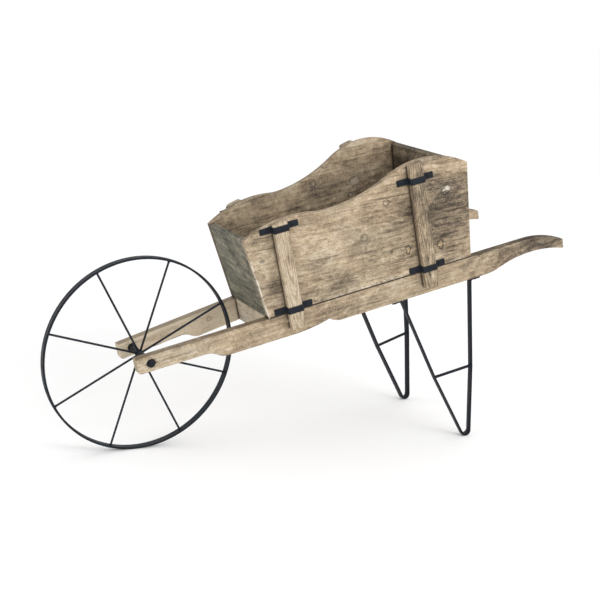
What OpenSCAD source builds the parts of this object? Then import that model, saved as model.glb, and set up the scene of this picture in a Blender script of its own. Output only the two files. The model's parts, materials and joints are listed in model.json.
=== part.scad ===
// Wooden wheelbarrow planter: two splayed shafts carry a tapered box, an iron
// wheel turns on a bolt at their front ends, and two bent iron legs stand behind.
// +X runs from the wheel to the handles, +Z is up, and the origin lies on the
// ground under the middle of the whole barrow. Left is the -Y side.
//
// The wooden parts are drawn in the barrow's own tilted frame: x (called u) runs
// from the hub along the shafts, and z (called v) is square to it, so v = 0 is
// the line through the hub.

/* [Stance] */
// Slope of the shafts above the ground, in degrees
incline = 16; // [12:0.5:19]
// Angle of each shaft from the centre line, in degrees
splay = 6.3; // [4:0.1:8]
// Distance over the outsides of the shafts, at the hub
shaft_spacing = 162; // [140:1:220]

/* [Wheel] */
// Outer radius of the wheel
wheel_r = 250; // [205:1:305]
// Width of the flat rim band
rim_w = 18; // [12:1:26]
// Thickness of the rim band
rim_t = 5.5; // [3:0.5:8]
// Diameter of each spoke
spoke_d = 5.5; // [4:0.5:6.5]
// Outer diameter of the hub tube
hub_d = 18; // [18:0.5:26]
// Angle of the first spoke above the ground line, in degrees
spoke_phase = 29.5; // [0:0.5:44.5]

/* [Axle] */
// Diameter of the axle bolt
axle_d = 10; // [8:0.5:12]
// Radial running clearance of the hub tube on the bolt
hub_play = 0.06; // [0.02:0.01:0.1]
// Radial clearance of the bolt in the shafts and washers
bolt_fit = 0.2; // [0.1:0.05:0.5]
// Width over the flats of the bolt head and nut
hex_af = 17; // [15:0.5:20]
// Height of the bolt head
hex_head_h = 6.5; // [5:0.5:9]
// Height of the nut
nut_h = 8; // [6:0.5:10]
// Length of thread that shows past the nut
thread_end = 3; // [1:0.5:8]
// Diameter of the washers
washer_d = 21; // [20:0.5:26]
// Thickness of the washers
washer_t = 2; // [1:0.5:3]
// End play of the hub tube against each inner washer
end_play = 0.5; // [0.3:0.1:1.5]

/* [Shafts] */
// Thickness of each shaft
shaft_t = 25; // [20:1:32]
// Height of the shafts' top edge above the hub line
shaft_top = 20; // [18:1:28]
// Depth of the shaft at the wheel end
nose_depth = 41.5; // [38:0.5:50]
// Depth of the shaft under the box
beam_depth = 61.5; // [54:0.5:75]
// Length of the shaft in front of the hub
nose_len = 35; // [28:1:60]
// Distance from the hub to the stepped underside
step_u = 138; // [90:1:200]
// Length of the step in the underside
step_len = 57; // [40:1:80]
// Distance from the hub to the cusp cut in the underside
cusp_u = 472; // [430:1:560]
// Depth of the cusp
cusp_depth = 13; // [6:0.5:18]
// Length of the cusp's long slope, towards the wheel
cusp_run = 100; // [60:1:130]
// Length of the cusp's short slope, towards the handles
cusp_fall = 35; // [20:1:60]
// Distance from the hub to the ends of the handles
handle_u = 1166; // [1120:1:1300]
// Depth of the shaft at the middle of the grip
grip_depth = 37.5; // [30:0.5:45]
// Distance from the end of the handle back to the middle of the grip
grip_back = 101; // [80:1:120]
// Length of the curve from the middle of the grip down to the full depth
grip_blend = 142; // [110:1:170]
// Length over which the top of the handle rounds down to its end
tip_drop_len = 110; // [80:1:140]
// Fall of the handle's top edge over that length
tip_drop = 27; // [15:1:34]
// Height of the end face of the handle
tip_depth = 27; // [22:1:34]

/* [Box] */
// Thickness of the side and end panels
panel_t = 16; // [12:1:20]
// Distance from the hub to the foot of the front panel
box_front_u = 315; // [290:1:330]
// Distance from the hub to the foot of the rear panel
box_rear_u = 888; // [860:1:960]
// Forward lean of the front panel from foot to top
front_lean = 27; // [10:1:45]
// Backward lean of the rear panel from foot to top
rear_lean = 23; // [5:1:40]
// Height of the side panels at their front corners
front_corner_h = 215; // [180:1:240]
// Height of the side panels at their rear corners
rear_corner_h = 257; // [230:1:280]
// Distance from the hub to the low crest of the side's top edge
low_crest_u = 420; // [400:1:440]
// Height of the low crest
low_crest_h = 245; // [242:1:260]
// Distance from the hub to the dip in the side's top edge
dip_u = 512; // [490:1:530]
// Height of the dip
dip_h = 235; // [215:1:238]
// Distance from the hub to the high crest of the side's top edge
high_crest_u = 785; // [760:1:800]
// Height of the high crest
high_crest_h = 297; // [290:1:320]
// Thickness of the cross rails under the box
rail_t = 25; // [20:1:32]
// Thickness of the floor boards
floor_t = 12; // [9:1:18]
// Gap between two floor boards, for drainage
floor_gap = 5; // [3:0.5:10]
// Clearance round the floor, at the panels
floor_fit = 0.6; // [0.3:0.1:2]

/* [Battens] */
// Width of the battens
batten_w = 38; // [30:1:46]
// Thickness of the battens
batten_t = 19; // [12:1:25]
// Distance from the hub to the front battens
batten_front_u = 382; // [370:1:400]
// Distance from the hub to the rear battens
batten_rear_u = 759; // [740:1:775]
// Length by which the battens hang below the top edge of the shafts
batten_hang = 42; // [30:1:50]

/* [Straps] */
// Width of the iron straps
strap_w = 16; // [12:1:20]
// Thickness of the iron straps
strap_t = 2; // [1.5:0.5:3]
// Length of each foot of a strap
strap_foot = 30; // [22:1:34]
// Bend radius on the outside of a strap
strap_bend = 3.5; // [3:0.5:6]
// Height of the lower straps above the shafts
strap_low_h = 11; // [10:1:30]
// Depth of the upper front straps below the low crest
strap_front_drop = 19; // [16:1:40]
// Depth of the upper rear straps below the high crest
strap_rear_drop = 47; // [30:1:70]
// Clearance of a strap round its batten
strap_fit = 0.2; // [0.1:0.1:1]
// Clearance under the battens and straps, and at the ends of the spokes
face_fit = 0.05; // [0.02:0.01:0.1]

/* [Legs] */
// Width of the flat bar
leg_w = 18; // [12:1:22]
// Thickness of the flat bar
leg_t = 5; // [4:0.5:6]
// Distance from the hub to the leg's front bend, along the shaft
leg_front_u = 679; // [640:1:700]
// Distance from the hub to the leg's rear bend, along the shaft
leg_rear_u = 882; // [850:1:900]
// Depth of the brace below the shaft
brace_drop = 250; // [200:1:280]
// Distance from the hub to the front end of the brace, along the shaft
brace_front_u = 741; // [725:1:760]
// Distance from the hub to the rear end of the brace, along the shaft
brace_rear_u = 852; // [835:1:870]
// Diameter of the brace
brace_d = 8; // [6:0.5:10]
// Distance from the hub to the foot, along the ground
foot_x = 910; // [895:1:930]
// Bend radius at the foot, to the middle of the bar
foot_bend = 12; // [9:0.5:20]
// Length of the tab at each end of the bar
tab_len = 28; // [24:1:36]
// Bend radius at the tabs, to the middle of the bar
tab_bend = 6; // [5:0.5:10]

/* [Fasteners] */
// Shank diameter of the strap and batten screws
screw_d = 4; // [3:0.5:5]
// Length of a strap screw under its head
strap_screw_len = 14; // [10:1:15]
// Length of a batten screw under its head
batten_screw_len = 38; // [32:1:42]
// Shank diameter of the leg screws
leg_screw_d = 6; // [4:0.5:7]
// Length of a leg screw under its head
leg_screw_len = 36; // [25:1:45]
// Shank diameter of the floor nails
nail_d = 2.4; // [1.8:0.2:3]
// Length of a floor nail under its head
nail_len = 30; // [24:1:40]
// Diameter of a floor nail's head
nail_head_d = 6; // [4:0.5:7]
// Depth of the seats of the nail heads in the floor
nail_sink = 1.5; // [1.2:0.1:3]
// Diameter of the dowels
dowel_d = 8; // [6:0.5:9]
// Length of a dowel, half of it in each piece
dowel_len = 20; // [16:1:22]
// Radial clearance of screws, nails and dowels in their holes
peg_fit = 0.05; // [0.02:0.01:0.1]

/* [Hidden] */

$fn = 48;
sides = ["left", "right"];
ends = ["front", "rear"];
levels = ["upper", "lower"];
wood_tan = [0.67, 0.58, 0.47];
wood_grey = [0.52, 0.48, 0.40];
wood_dark = [0.40, 0.35, 0.30];
wood_light = [0.74, 0.66, 0.53];
iron_black = [0.10, 0.12, 0.14];
steel_grey = [0.55, 0.56, 0.58];
spoke_count = 8;
board_count = 5;
cut = 1;
curve_steps = 12;

// Levels in the tilted frame
nose_v = shaft_top - nose_depth;
beam_v = shaft_top - beam_depth;
grip_v = shaft_top - grip_depth;
front_corner = [box_front_u - front_lean, shaft_top + front_corner_h];
rear_corner = [box_rear_u + rear_lean, shaft_top + rear_corner_h];
floor_top = shaft_top + floor_t;
brace_v = beam_v - brace_drop;

// Half the distance between two planes, inset from the outsides of the shafts
function half_w(u, inset = 0) = shaft_spacing / 2 + u * tan(splay) - inset / cos(splay);

// Points on an arc, both ends included
function arc_points(centre, r, a0, a1, n = curve_steps) =
    [for (i = [0:n]) let (a = a0 + (a1 - a0) * i / n) centre + r * [cos(a), sin(a)]];

// S-shaped curve from p to q, level at both; share sets the first arc's radius
function s_curve(p, q, share = 0.5) =
    let (d = q - p, up = sign(d.y), way = sign(d.x),
         r_sum = (d.x * d.x + d.y * d.y) / (2 * abs(d.y)),
         turn = asin(abs(d.x) / r_sum) * up * way,
         r_p = r_sum * share, r_q = r_sum - r_p)
    concat(arc_points(p + [0, up * r_p], r_p, -90 * up, -90 * up + turn),
           arc_points(q - [0, up * r_q], r_q, 90 * up + turn, 90 * up));

// Arc from the corner p to the point q, where it is level
function level_arc(p, q) =
    let (d = p - q, side = sign(d.y), r = (d.x * d.x + d.y * d.y) / (2 * abs(d.y)),
         centre = q + [0, side * r])
    arc_points(centre, r, atan2(p.y - centre.y, p.x - centre.x), -90 * side);

function reversed(points) = [for (i = [len(points) - 1:-1:0]) points[i]];

// Underside of the handle, from its end to the full depth of the shaft
grip_u = handle_u - grip_back;
tip_top_v = shaft_top - tip_drop;
tip_round = 4;
tip_under = [handle_u - tip_round, tip_top_v - tip_depth];

shaft_outline = concat(
    arc_points([-nose_len + 2, shaft_top - 2], 2, 180, 90, 4),
    reversed(level_arc([handle_u - tip_round, tip_top_v], [handle_u - tip_drop_len, shaft_top])),
    arc_points([handle_u - tip_round, tip_top_v - tip_round], tip_round, 80, 0, 4),
    arc_points(tip_under + [0, tip_round], tip_round, 0, -80, 4),
    level_arc(tip_under, [grip_u, grip_v]),
    s_curve([grip_u, grip_v], [grip_u - grip_blend, beam_v], 0.7),
    reversed(level_arc([cusp_u, beam_v + cusp_depth], [cusp_u + cusp_fall, beam_v])),
    level_arc([cusp_u, beam_v + cusp_depth], [cusp_u - cusp_run, beam_v]),
    s_curve([step_u + step_len, beam_v], [step_u, nose_v]),
    arc_points([-nose_len + 8, nose_v + 8], 8, -90, -180, 6));

// The whole length of the barrow puts the origin in its middle
function ground_x(p) = p.x * cos(incline) - p.y * sin(incline);
rear_x = max([for (p = shaft_outline) ground_x(p)]);
hub_x = (wheel_r - rear_x) / 2;

side_top = concat(
    level_arc(front_corner, [low_crest_u, shaft_top + low_crest_h]),
    s_curve([low_crest_u, shaft_top + low_crest_h], [dip_u, shaft_top + dip_h], 0.7),
    s_curve([dip_u, shaft_top + dip_h], [high_crest_u, shaft_top + high_crest_h], 0.65),
    reversed(level_arc(rear_corner, [high_crest_u, shaft_top + high_crest_h])));

// Places of the repeated pieces
floor_front_u = box_front_u + panel_t / cos(atan(front_lean / front_corner_h)) + floor_fit;
floor_rear_u = box_rear_u - panel_t / cos(atan(rear_lean / rear_corner_h)) - floor_fit;
board_w = (floor_rear_u - floor_front_u - (board_count - 1) * floor_gap) / board_count;
rear_rail_u = box_rear_u - rail_t;
rail_mid_u = [box_front_u + rail_t / 2, rear_rail_u + rail_t / 2];
rail_dowel_v = [beam_v + 16, shaft_top - 16];
side_dowel_u = [box_front_u + 60, (batten_front_u + batten_rear_u) / 2, box_rear_u - 60];
corner_dowel_h = [60, 155];
strap_foot_mid = batten_w / 2 + strap_t + strap_foot / 2;
nail_inset = (shaft_t + panel_t) / 2;
tab_screw = tab_len - 11;

function batten_u(end) = end == "front" ? batten_front_u : batten_rear_u;
function strap_v(end, level) =
    level == "lower" ? shaft_top + strap_low_h
    : end == "front" ? shaft_top + low_crest_h - strap_front_drop
    : shaft_top + high_crest_h - strap_rear_drop;
function board_u(i) = floor_front_u + (i - 1) * (board_w + floor_gap);

// Seats cut square to the axle in the splayed faces of the shafts
seat_r = washer_d / 2 + 0.5;
outer_seat = half_w(-seat_r);
inner_seat = half_w(seat_r, shaft_t);
bolt_end = outer_seat + washer_t + nut_h + thread_end;
hub_half = inner_seat - washer_t - end_play;

// ---- Frames and simple solids ----

module barrow() { translate([hub_x, 0, wheel_r]) rotate([0, -incline, 0]) children(); }

module wheel_centre() { translate([hub_x, 0, wheel_r]) children(); }

module on_side(side) { mirror([0, side == "left" ? 0 : 1, 0]) children(); }

// Frame of one side: x along the shaft, y inwards from its outer face
module side_frame(side) {
    on_side(side) translate([0, -shaft_spacing / 2, 0]) rotate([0, 0, -splay]) children();
}

function along(u, inward = 0) = (u - inward * sin(splay)) / cos(splay);

// A shape drawn in u and v, drawn out across the barrow
module across(points) {
    rotate([90, 0, 0]) linear_extrude(shaft_spacing * 5, center = true) polygon(points);
}

// Upright slab of one side between two insets from the outside
module side_slab(side, inset_0, inset_1) {
    u0 = -2 * nose_len;
    u1 = handle_u + nose_len;
    on_side(side) translate([0, 0, -wheel_r * 2]) linear_extrude(wheel_r * 4) polygon([
        [u0, -half_w(u0, inset_0)], [u1, -half_w(u1, inset_0)],
        [u1, -half_w(u1, inset_1)], [u0, -half_w(u0, inset_1)]]);
}

// Everything between the two sides, inset from their outsides
module between_sides(inset) {
    u0 = -2 * nose_len;
    u1 = handle_u + nose_len;
    translate([0, 0, -wheel_r * 2]) linear_extrude(wheel_r * 4) polygon([
        [u0, -half_w(u0, inset)], [u1, -half_w(u1, inset)],
        [u1, half_w(u1, inset)], [u0, half_w(u0, inset)]]);
}

module hole(d, len) { translate([0, 0, -cut]) cylinder(d = d, h = len + cut); }

// Round-headed screw with its head above z = 0 and its shank below
module screw(d, len, head_d, head_h) {
    translate([0, 0, -len]) cylinder(d = d, h = len + head_h / 2);
    intersection() {
        cylinder(d = head_d, h = head_h);
        r = (head_d * head_d / 4 + head_h * head_h) / (2 * head_h);
        translate([0, 0, head_h - r]) sphere(r = r);
    }
}

// ---- Places that several pieces share ----

module strap_screw_places(side) {
    for (end = ends, level = levels, way = [-1, 1])
        side_frame(side)
            translate([along(batten_u(end)) + way * strap_foot_mid, 0, strap_v(end, level)])
                rotate([90, 0, 0]) children();
}

module batten_screw_places(side) {
    for (end = ends)
        side_frame(side)
            translate([along(batten_u(end)), shaft_t, shaft_top - batten_hang / 2])
                rotate([-90, 0, 0]) children();
}

module nail_places(board, side) {
    for (share = [0.22, 0.78]) {
        u = board_u(board) + share * board_w;
        on_side(side) translate([u, -half_w(u, nail_inset), floor_top]) children();
    }
}

module rail_dowel_places(side) {
    for (u = rail_mid_u, v = rail_dowel_v)
        on_side(side) translate([u, -half_w(u, shaft_t), v]) rotate([90, 0, 0]) children();
}

module side_dowel_places(side) {
    for (u = side_dowel_u)
        on_side(side) translate([u, -half_w(u, panel_t / 2), shaft_top]) children();
}

module corner_dowel_places(side) {
    for (h = corner_dowel_h) {
        front_u = box_front_u - front_lean * h / front_corner_h + panel_t / 2;
        rear_u = box_rear_u + rear_lean * h / rear_corner_h - panel_t / 2;
        for (u = [front_u, rear_u])
            on_side(side) translate([u, -half_w(u, panel_t), shaft_top + h])
                rotate([90, 0, 0]) children();
    }
}

module tab_screw_places(side) {
    for (u = [leg_front_u - tab_screw, leg_rear_u + tab_screw])
        side_frame(side) translate([along(u, shaft_t / 2), shaft_t / 2, beam_v]) children();
}

module dowel() { cylinder(d = dowel_d, h = dowel_len, center = true); }

module dowel_hole() { cylinder(d = dowel_d + 2 * peg_fit, h = dowel_len, center = true); }

// A corner dowel sits mostly in the end panel, so as not to break through the side
module corner_dowel(extra = 0) {
    translate([0, 0, panel_t / 2 - dowel_len]) cylinder(d = dowel_d + 2 * extra, h = dowel_len);
}

// ---- Frame ----

module shaft(side) {
    color(wood_tan) barrow() difference() {
        intersection() {
            across(shaft_outline);
            side_slab(side, 0, shaft_t);
        }
        rotate([90, 0, 0]) cylinder(d = axle_d + 2 * bolt_fit, h = shaft_spacing * 2, center = true);
        on_side(side) {
            translate([0, -outer_seat, 0]) rotate([90, 0, 0]) cylinder(r = seat_r, h = shaft_t);
            translate([0, -inner_seat, 0]) rotate([-90, 0, 0]) cylinder(r = seat_r, h = shaft_t);
        }
        batten_screw_places(side)
            translate([0, 0, -shaft_t - cut]) cylinder(d = screw_d + 2 * peg_fit, h = shaft_t + 2 * cut);
        for (board = [1:board_count])
            nail_places(board, side)
                translate([0, 0, -nail_sink - nail_len]) cylinder(d = nail_d + 2 * peg_fit, h = nail_len);
        rail_dowel_places(side) dowel_hole();
        side_dowel_places(side) dowel_hole();
        tab_screw_places(side)
            hole(leg_screw_d + 2 * peg_fit, leg_screw_len - leg_t);
    }
}

module rail(u0) {
    color(wood_dark) barrow() difference() {
        intersection() {
            across([[u0, beam_v], [u0 + rail_t, beam_v], [u0 + rail_t, shaft_top], [u0, shaft_top]]);
            between_sides(shaft_t);
        }
        for (side = sides) rail_dowel_places(side) dowel_hole();
    }
}

module floor_board(i) {
    u0 = board_u(i);
    u1 = u0 + board_w;
    color(wood_dark) barrow() difference() {
        intersection() {
            across([[u0, shaft_top], [u1, shaft_top], [u1, floor_top], [u0, floor_top]]);
            between_sides(panel_t + floor_fit);
        }
        for (side = sides) nail_places(i, side) {
            translate([0, 0, -floor_t - cut]) cylinder(d = nail_d + 2 * peg_fit, h = floor_t + cut);
            translate([0, 0, -nail_sink]) cylinder(d = nail_head_d + 2 * peg_fit, h = nail_sink + cut);
        }
    }
}

// ---- Box ----

module side_panel(side) {
    color(wood_tan) barrow() difference() {
        intersection() {
            across(concat(side_top, [[box_rear_u, shaft_top], [box_front_u, shaft_top]]));
            side_slab(side, 0, panel_t);
        }
        strap_screw_places(side)
            translate([0, 0, strap_t - strap_screw_len])
                cylinder(d = screw_d + 2 * peg_fit, h = strap_screw_len);
        side_dowel_places(side) dowel_hole();
        corner_dowel_places(side) corner_dowel(peg_fit);
    }
}

module end_panel(foot_u, top, inward) {
    foot = [foot_u, shaft_top];
    lean = atan((top.x - foot.x) / (top.y - foot.y));
    step = [inward * panel_t / cos(lean), 0];
    color(wood_grey) barrow() difference() {
        intersection() {
            across([foot, foot + step, top + step, top]);
            between_sides(panel_t);
        }
        for (side = sides) corner_dowel_places(side) corner_dowel(peg_fit);
    }
}

module front_panel() { end_panel(box_front_u, front_corner, 1); }

module rear_panel() { end_panel(box_rear_u, rear_corner, -1); }

// ---- Battens and straps ----

module batten(side, end) {
    top_v = shaft_top + high_crest_h + cut;
    color(wood_light) barrow() difference() {
        intersection() {
            side_frame(side)
                translate([along(batten_u(end)) - batten_w / 2, -batten_t, shaft_top - batten_hang])
                    cube([batten_w, batten_t - face_fit, top_v - shaft_top + batten_hang]);
            across(concat(side_top, [[rear_corner.x, beam_v], [front_corner.x, beam_v]]));
        }
        batten_screw_places(side)
            translate([0, 0, -batten_screw_len]) cylinder(d = screw_d + 2 * peg_fit, h = batten_screw_len);
    }
}

// Half of a strap's section: a foot on the panel, then up and over the batten
function strap_half(way) =
    let (inner = batten_w / 2 + strap_fit, outer = inner + strap_t,
         under = batten_t + strap_fit, over = under + strap_t,
         bend = strap_bend, tip = outer + strap_foot)
    [for (p = concat(
        [[0, over]], arc_points([outer - bend, over - bend], bend, 90, 0, 4),
        [[outer, strap_t], [tip, strap_t], [tip, face_fit], [inner, face_fit], [inner, under], [0, under]]))
        [way * p.x, p.y]];

module strap(side, end, level) {
    color(iron_black) barrow() difference() {
        side_frame(side)
            translate([along(batten_u(end)), 0, strap_v(end, level) - strap_w / 2])
                linear_extrude(strap_w) mirror([0, 1])
                    polygon(concat(strap_half(-1), reversed(strap_half(1))));
        strap_screw_places(side)
            hole(screw_d + 2 * peg_fit, strap_t + cut);
    }
}

module strap_screws() {
    color(iron_black) barrow() for (side = sides)
        strap_screw_places(side) translate([0, 0, strap_t]) screw(screw_d, strap_screw_len, 8, 2.2);
}

module batten_screws() {
    color(steel_grey) barrow() for (side = sides)
        batten_screw_places(side) screw(screw_d, batten_screw_len, 8, 2.5);
}

module floor_nails() {
    color(steel_grey) barrow() for (side = sides, board = [1:board_count])
        nail_places(board, side) translate([0, 0, -nail_sink]) screw(nail_d, nail_len, nail_head_d, 1);
}

module rail_dowels() {
    color(wood_light) barrow() for (side = sides) rail_dowel_places(side) dowel();
}

module side_dowels() {
    color(wood_light) barrow() for (side = sides) side_dowel_places(side) dowel();
}

module corner_dowels() {
    color(wood_light) barrow() for (side = sides) corner_dowel_places(side) corner_dowel();
}

// ---- Legs ----

// Height above the ground of a point of the side frame, and the slope of that height
function ground_z(s, y, v) = wheel_r + (s * cos(splay) + y * sin(splay)) * sin(incline) + v * cos(incline);
rise = norm([cos(splay) * sin(incline), cos(incline)]);

// The foot's bend stands on the ground with the edge of the bar that hangs lowest
foot_s = let (mid = shaft_t / 2) (foot_x * cos(incline)
    - (wheel_r - foot_bend) * sin(incline)) / cos(splay) - mid * tan(splay);
foot_v = let (edge = (shaft_t - leg_w) / 2)
    ((foot_bend + leg_t / 2) * rise - ground_z(foot_s, edge, 0)) / cos(incline);
foot = [foot_s, foot_v];
tab_v = beam_v - leg_t / 2;
leg_front = [along(leg_front_u, shaft_t / 2), tab_v];
leg_rear = [along(leg_rear_u, shaft_t / 2), tab_v];
brace_front = [along(brace_front_u, shaft_t / 2), brace_v];
brace_rear = [along(brace_rear_u, shaft_t / 2), brace_v];

// Angle, seen from the centre of a circle, of the tangent point of a line from p
function tangent_angle(centre, r, p, way) =
    let (d = p - centre) atan2(d.y, d.x) + way * acos(r / norm(d));

// Bend of radius r at the corner b between a and c
function bend_points(a, b, c, r) =
    let (p = (a - b) / norm(a - b), q = (c - b) / norm(c - b),
         half = acos(p * q) / 2, mid = (p + q) / norm(p + q),
         centre = b + mid * r / sin(half),
         from_p = b + p * r / tan(half) - centre, from_q = b + q * r / tan(half) - centre,
         a0 = atan2(from_p.y, from_p.x), a1 = atan2(from_q.y, from_q.x),
         turn = a1 - a0 > 180 ? a1 - a0 - 360 : a1 - a0 < -180 ? a1 - a0 + 360 : a1 - a0)
    arc_points(centre, r, a0, a0 + turn, 5);

foot_from = tangent_angle(foot, foot_bend, brace_front, 1);
foot_to = tangent_angle(foot, foot_bend, brace_rear, -1);
foot_arc = arc_points(foot, foot_bend, foot_from, foot_to + 360, 16);

leg_line = concat(
    [leg_front - [tab_len, 0]],
    bend_points(leg_front - [tab_len, 0], leg_front, brace_front, tab_bend),
    [brace_front], foot_arc, [brace_rear],
    bend_points(brace_rear, leg_rear, leg_rear + [tab_len, 0], tab_bend),
    [leg_rear + [tab_len, 0]]);

// Points beside a bent line, at a distance to its left
function beside(line, dist) =
    [for (i = [0:len(line) - 1])
        let (a = line[max(i - 1, 0)], b = line[i], c = line[min(i + 1, len(line) - 1)],
             p = i == 0 ? c - b : b - a, q = i == len(line) - 1 ? p : c - b,
             m = p / norm(p) + q / norm(q), n = [-m.y, m.x] / norm(m))
        b + n * dist / (n * [-q.y, q.x] / norm(q))];

module leg_plate(points, w) {
    translate([0, shaft_t / 2, 0]) rotate([90, 0, 0])
        linear_extrude(w, center = true) polygon(points);
}

module leg(side) {
    color(iron_black) barrow() difference() {
        side_frame(side)
            leg_plate(concat(beside(leg_line, leg_t / 2), reversed(beside(leg_line, -leg_t / 2))), leg_w);
        tab_screw_places(side)
            translate([0, 0, -leg_t - cut]) cylinder(d = leg_screw_d + 2 * peg_fit, h = leg_t + 2 * cut);
    }
}

module leg_brace(side) {
    reach = brace_rear.x - brace_front.x + 2 * leg_w;
    color(iron_black) barrow() side_frame(side) intersection() {
        leg_plate(beside(leg_line, leg_t / 2), leg_w);
        translate([brace_front.x - leg_w, shaft_t / 2, brace_v])
            rotate([0, 90, 0]) cylinder(d = brace_d, h = reach);
    }
}

module leg_screws() {
    color(iron_black) barrow() for (side = sides)
        tab_screw_places(side) translate([0, 0, -leg_t]) mirror([0, 0, 1])
            screw(leg_screw_d, leg_screw_len, 11, 4);
}

// ---- Axle and wheel ----

module hex(h) { cylinder(d = hex_af / cos(30), h = h, $fn = 6); }

module across_axle(y) { translate([0, y, 0]) rotate([-90, 0, 0]) children(); }

module ring_plate(outer_d, inner_d, h) {
    difference() {
        cylinder(d = outer_d, h = h);
        translate([0, 0, -cut]) cylinder(d = inner_d, h = h + 2 * cut);
    }
}

module axle_bolt() {
    head_y = -outer_seat - washer_t;
    color(iron_black) wheel_centre() {
        across_axle(head_y - hex_head_h) rotate([0, 0, 30 - incline]) hex(hex_head_h);
        across_axle(head_y - hex_head_h / 2) cylinder(d = axle_d, h = bolt_end - head_y + hex_head_h / 2);
    }
}

module axle_nut() {
    color(iron_black) wheel_centre() across_axle(outer_seat + washer_t) difference() {
        rotate([0, 0, 30 - incline]) hex(nut_h);
        translate([0, 0, -cut]) cylinder(d = axle_d + 2 * peg_fit, h = nut_h + 2 * cut);
    }
}

module outer_washers() {
    color(iron_black) wheel_centre() for (y = [-outer_seat - washer_t, outer_seat])
        across_axle(y) ring_plate(washer_d, axle_d + 2 * bolt_fit, washer_t);
}

module inner_washers() {
    color(iron_black) wheel_centre() for (y = [-inner_seat, inner_seat - washer_t])
        across_axle(y) ring_plate(washer_d, axle_d + 2 * bolt_fit, washer_t);
}

module hub_tube() {
    color(iron_black) wheel_centre() across_axle(-hub_half)
        ring_plate(hub_d, axle_d + 2 * hub_play, 2 * hub_half);
}

module spoke(i) {
    a = spoke_phase + (i - 1) * 360 / spoke_count;
    color(iron_black) wheel_centre() intersection() {
        rotate([0, 90 - a, 0]) cylinder(d = spoke_d, h = wheel_r);
        across_axle(-rim_w / 2)
            ring_plate(2 * (wheel_r - rim_t - face_fit), hub_d + 2 * face_fit, rim_w);
    }
}

module wheel_rim() {
    bevel = 0.8;
    color(iron_black) wheel_centre() rotate([90, 0, 0]) rotate_extrude($fn = 128)
        polygon([[wheel_r - rim_t, -rim_w / 2], [wheel_r - bevel, -rim_w / 2],
                 [wheel_r, -rim_w / 2 + bevel], [wheel_r, rim_w / 2 - bevel],
                 [wheel_r - bevel, rim_w / 2], [wheel_r - rim_t, rim_w / 2]]);
}

// ---- The assembly ----

for (side = sides) shaft(side);
rail(box_front_u);  // front_rail
rail(rear_rail_u);  // rear_rail
for (i = [1:board_count]) floor_board(i);
for (side = sides) side_panel(side);
front_panel();
rear_panel();
for (side = sides, end = ends)
    batten(side, end);
for (side = sides, end = ends, level = levels)
    strap(side, end, level);
strap_screws();
batten_screws();
floor_nails();
rail_dowels();
side_dowels();
corner_dowels();
for (side = sides) leg(side);
for (side = sides) leg_brace(side);
leg_screws();
axle_bolt();
axle_nut();
outer_washers();
inner_washers();
hub_tube();
for (i = [1:spoke_count]) spoke(i);
wheel_rim();
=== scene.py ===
import json
import math

import bpy
from mathutils import Euler, Matrix, Vector
from mathutils.bvhtree import BVHTree


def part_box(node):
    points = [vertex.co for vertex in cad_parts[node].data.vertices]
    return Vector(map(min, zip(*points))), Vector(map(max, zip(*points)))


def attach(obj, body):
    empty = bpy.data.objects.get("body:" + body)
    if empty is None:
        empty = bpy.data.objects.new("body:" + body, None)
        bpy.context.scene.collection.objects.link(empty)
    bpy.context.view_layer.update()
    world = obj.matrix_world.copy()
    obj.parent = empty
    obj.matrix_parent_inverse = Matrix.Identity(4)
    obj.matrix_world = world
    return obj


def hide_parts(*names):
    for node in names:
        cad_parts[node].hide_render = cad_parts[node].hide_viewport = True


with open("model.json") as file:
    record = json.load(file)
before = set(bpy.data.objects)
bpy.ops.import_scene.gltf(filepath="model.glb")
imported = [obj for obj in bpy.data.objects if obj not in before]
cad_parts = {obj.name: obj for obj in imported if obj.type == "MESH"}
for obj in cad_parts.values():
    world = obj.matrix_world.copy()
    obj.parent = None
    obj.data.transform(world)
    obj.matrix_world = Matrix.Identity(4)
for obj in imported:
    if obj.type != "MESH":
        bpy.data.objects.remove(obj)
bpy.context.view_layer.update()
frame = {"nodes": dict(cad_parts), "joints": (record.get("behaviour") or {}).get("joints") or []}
nodes = frame["nodes"]

# the barrow's own frame: u runs up the shafts from the hub, v is square to it
stance = {"incline": math.radians(16), "splay": math.radians(6.3)}
hub = Vector(frame["joints"][0]["pos_m"])


# small helpers

def selectOnly(*pieces):
    bpy.ops.object.select_all(action="DESELECT")
    for piece in pieces:
        piece.select_set(True)
    bpy.context.view_layer.objects.active = pieces[0]


def editMesh(piece, mode="VERT"):
    selectOnly(piece)
    bpy.ops.object.mode_set(mode="EDIT")
    bpy.ops.mesh.select_mode(type=mode)
    bpy.ops.mesh.select_all(action="SELECT")


def leaveEdit():
    bpy.ops.object.mode_set(mode="OBJECT")


def pickFaces(piece, wanted):
    # opens the piece for editing with only the wanted faces selected
    editMesh(piece, "FACE")
    bpy.ops.mesh.select_all(action="DESELECT")
    leaveEdit()
    for face in piece.data.polygons:
        face.select = wanted(face)
    bpy.ops.object.mode_set(mode="EDIT")


def pickPoints(piece, wanted):
    # the same for points, and says how many it found
    editMesh(piece)
    bpy.ops.mesh.select_all(action="DESELECT")
    leaveEdit()
    picked = 0
    for point in piece.data.vertices:
        point.select = wanted(point.co)
        picked += point.select
    bpy.ops.object.mode_set(mode="EDIT")
    return picked


def smooth(piece, degrees=35):
    selectOnly(piece)
    bpy.ops.object.shade_smooth_by_angle(angle=math.radians(degrees))


def applyModifier(piece, kind, **settings):
    modifier = piece.modifiers.new(kind.title(), kind)
    for name, value in settings.items():
        setattr(modifier, name, value)
    selectOnly(piece)
    bpy.ops.object.modifier_apply(modifier=modifier.name)


def settle(piece):
    # moves the piece's place into its mesh, so that the object sits at the origin
    selectOnly(piece)
    bpy.ops.object.transform_apply(location=True, rotation=True, scale=True)


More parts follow.
